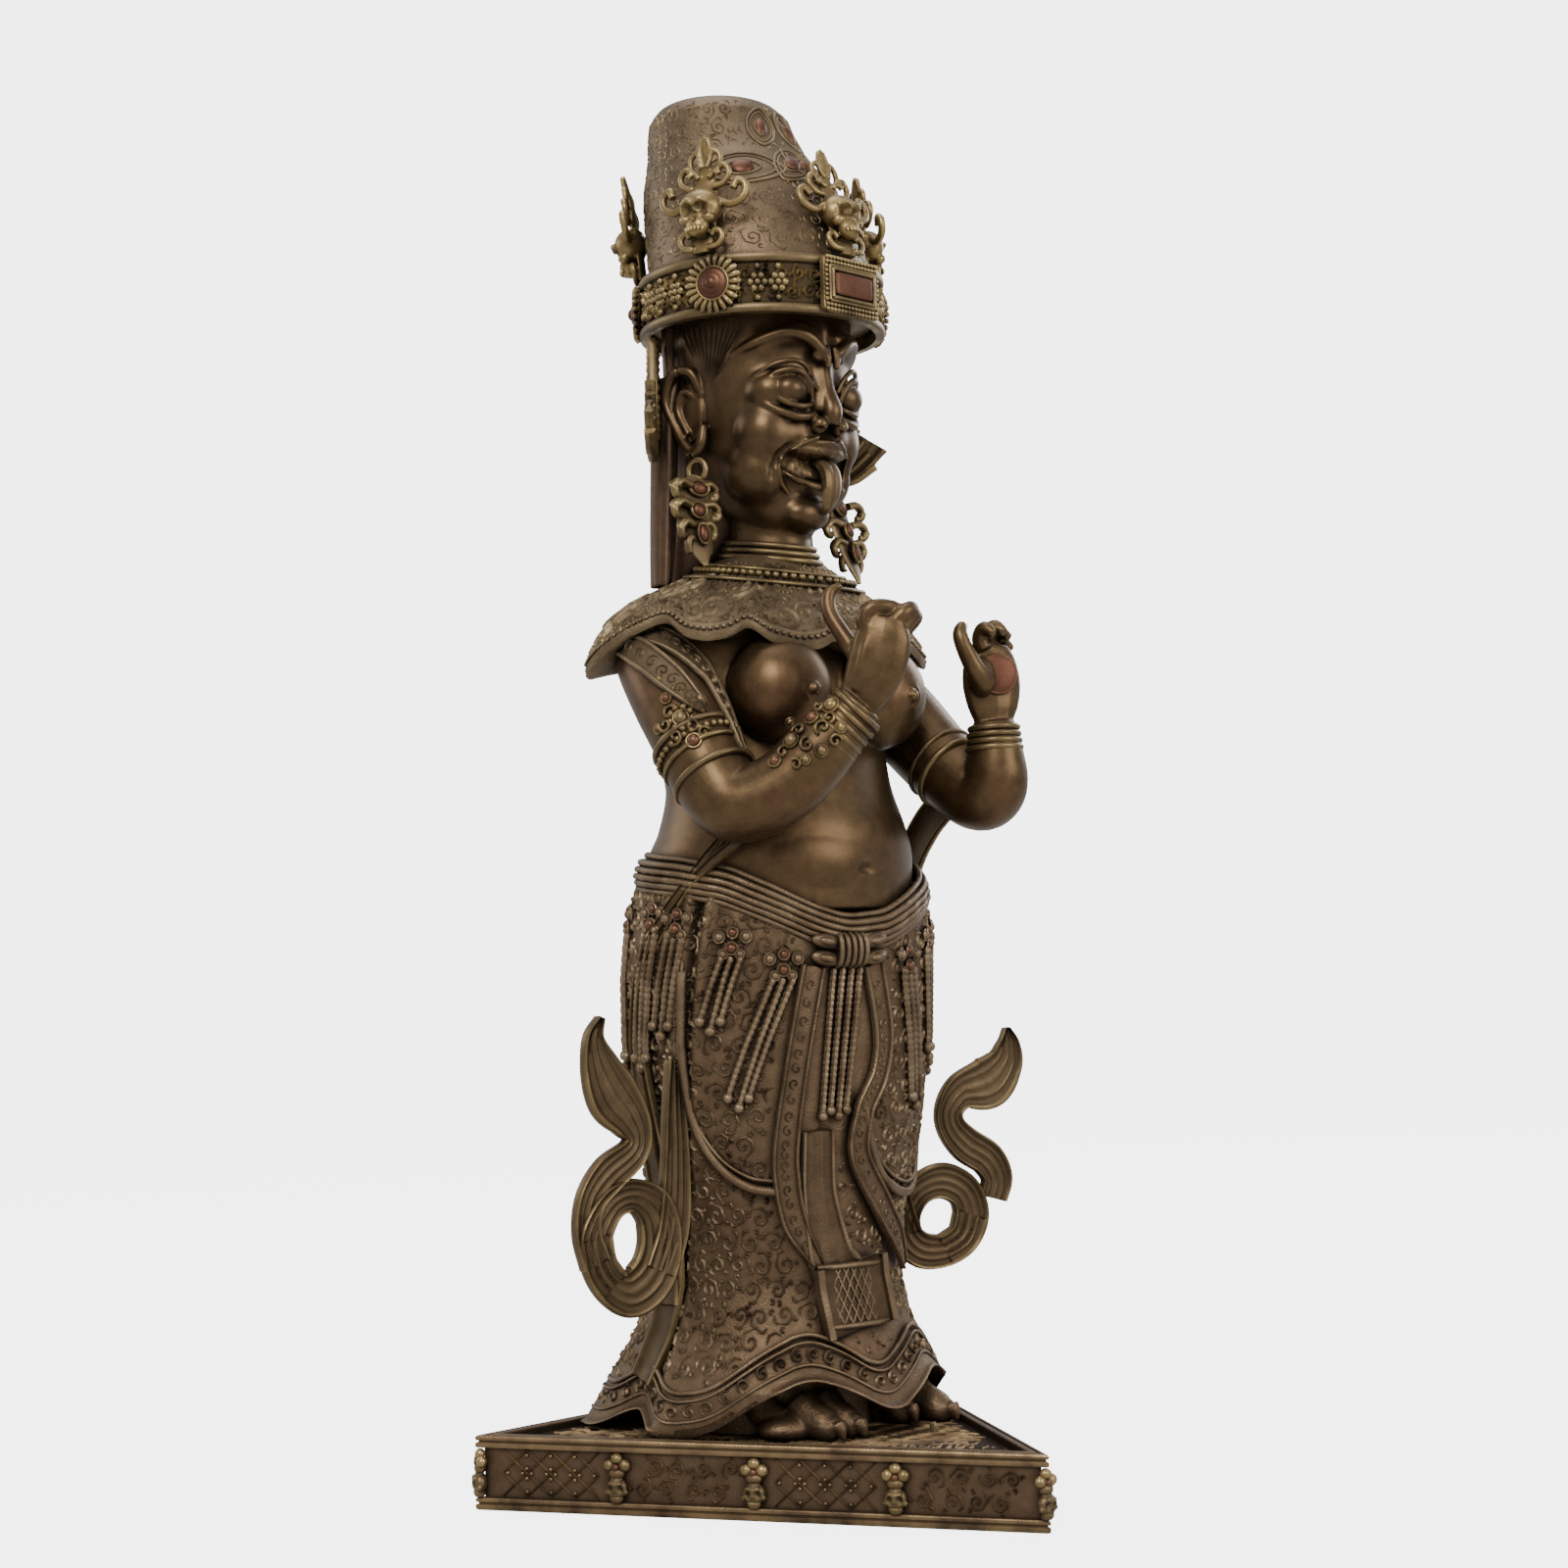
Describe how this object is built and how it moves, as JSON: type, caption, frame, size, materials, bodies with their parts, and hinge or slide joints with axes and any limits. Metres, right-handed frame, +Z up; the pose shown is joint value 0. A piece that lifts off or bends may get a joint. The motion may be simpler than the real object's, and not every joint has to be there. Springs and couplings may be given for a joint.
{
  "type": "standing deity statue",
  "caption": "Cast bronze statue of a wrathful goddess with a lolling tongue, tall hat, skull crown, scalloped cape and long skirt, on a three-sided plinth.",
  "frame": {"origin": "on the underside of the plinth, at the middle of its triangle", "axes": "the figure faces -Y with its own left at +X, and +Z runs up from the plinth to the hat"},
  "size_m": [0.4224, 0.3681, 1.04],
  "materials": {
    "dark_bronze": "dark brown aged bronze, rubbed lighter on the high places",
    "worn_brass": "olive brass, worn to yellow on the edges",
    "copper_inlay": "dull reddish copper"
  },
  "bodies": {
    "root": {"plinth": "dark_bronze", "figure": "dark_bronze", "hat": "worn_brass", "crown_band": "worn_brass", "crown_leaf_1": "worn_brass", "crown_leaf_2": "worn_brass", "crown_leaf_3": "worn_brass", "crown_leaf_4": "worn_brass", "crown_leaf_5": "worn_brass", "scarf_end_right": "worn_brass", "scarf_end_left": "worn_brass", "earring_right": "worn_brass", "earring_left": "worn_brass", "crown_ribbon_right": "worn_brass", "crown_ribbon_left": "worn_brass", "palm_disc_right": "copper_inlay", "palm_disc_left": "copper_inlay", "plinth_skull_01": "worn_brass", "plinth_skull_02": "worn_brass", "plinth_skull_03": "worn_brass", "plinth_skull_04": "worn_brass", "plinth_skull_05": "worn_brass", "plinth_skull_06": "worn_brass", "plinth_skull_07": "worn_brass", "plinth_skull_08": "worn_brass", "plinth_skull_09": "worn_brass", "plinth_skull_10": "worn_brass", "plinth_skull_11": "worn_brass", "plinth_skull_12": "worn_brass"}
  },
  "joints": []
}
